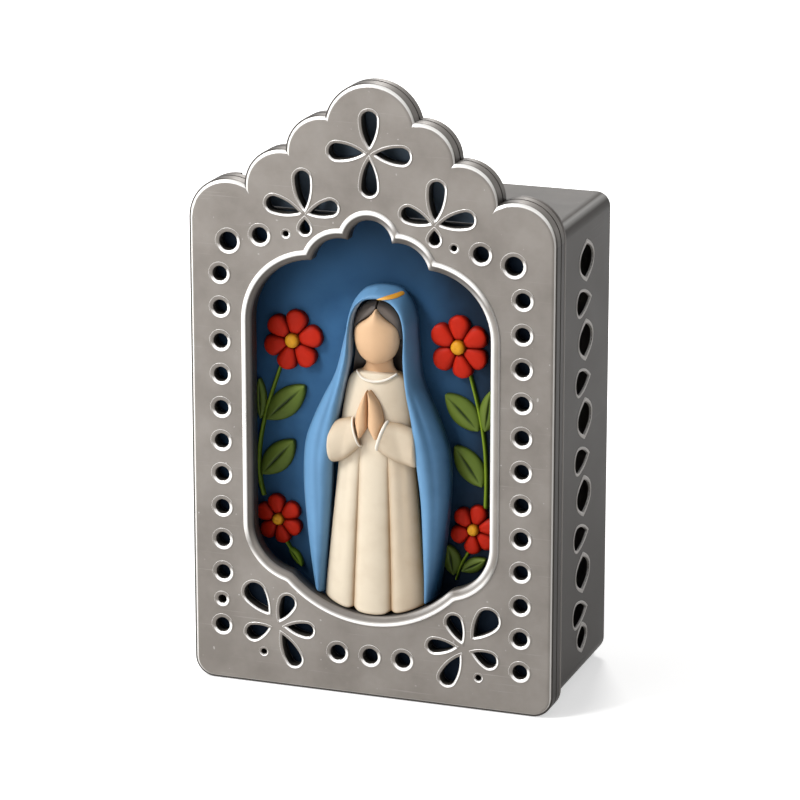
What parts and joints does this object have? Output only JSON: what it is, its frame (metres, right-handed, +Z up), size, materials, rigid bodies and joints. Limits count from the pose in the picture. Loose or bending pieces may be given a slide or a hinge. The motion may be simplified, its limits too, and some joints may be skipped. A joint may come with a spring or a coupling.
{
  "type": "nicho",
  "caption": "Pierced tin nicho with a scalloped slip-on front over a painted niche that holds a robed figure and raised flowers, with a hanging ring at the back.",
  "frame": {"origin": "centre of the bounding box in plan, on the surface that the nicho stands on", "axes": "+Z up, the pierced front faces -Y, +X to the right as seen from the front"},
  "size_m": [0.182, 0.1026, 0.3],
  "materials": {
    "tin_cover": "aged, satin",
    "tin_edge": "worn bright",
    "tin_box": "aged, satin",
    "navy_paint": "matte",
    "blue_paint": "satin",
    "wire": "drawn wire",
    "robe_glaze": "painted, satin",
    "mantle_glaze": "painted, satin",
    "skin_glaze": "painted, satin",
    "hair_glaze": "painted, satin",
    "gold_paint": "painted, satin",
    "petal_glaze": "painted, satin",
    "eye_glaze": "painted, satin",
    "stem_glaze": "painted, satin",
    "leaf_glaze": "painted, satin"
  },
  "bodies": {
    "box": {"box_wrap": "tin_box", "back_panel": "tin_box", "niche_liner": "blue_paint", "hanger_strap": "tin_box", "robe": "robe_glaze", "left_sleeve": "robe_glaze", "right_sleeve": "robe_glaze", "left_hand": "skin_glaze", "right_hand": "skin_glaze", "neck": "skin_glaze", "face": "skin_glaze", "hair": "hair_glaze", "mantle": "mantle_glaze", "hood_band": "gold_paint", "collar": "robe_glaze", "upper_left_flower": "petal_glaze", "upper_right_flower": "petal_glaze", "lower_left_flower": "petal_glaze", "lower_right_flower": "petal_glaze", "flower_eyes": "eye_glaze", "left_stem": "stem_glaze", "right_stem": "stem_glaze", "left_leaves": "leaf_glaze", "right_leaves": "leaf_glaze"},
    "cover": {"front_cover": "tin_cover", "opening_lip": "tin_edge", "skirt_hem": "tin_edge", "crest_back": "navy_paint"},
    "hanger_ring": {"hanger_ring": "wire"}
  },
  "joints": [
    {"name": "cover_slide", "type": "slide", "parent": "box", "child": "cover", "axis": [0, -1, 0], "range_m": [0, 0.06]},
    {"name": "ring_hinge", "type": "hinge", "parent": "box", "child": "hanger_ring", "pos_m": [0, 0.0492, 0.215], "axis": [1, 0, 0], "range_deg": [0, 180]}
  ]
}
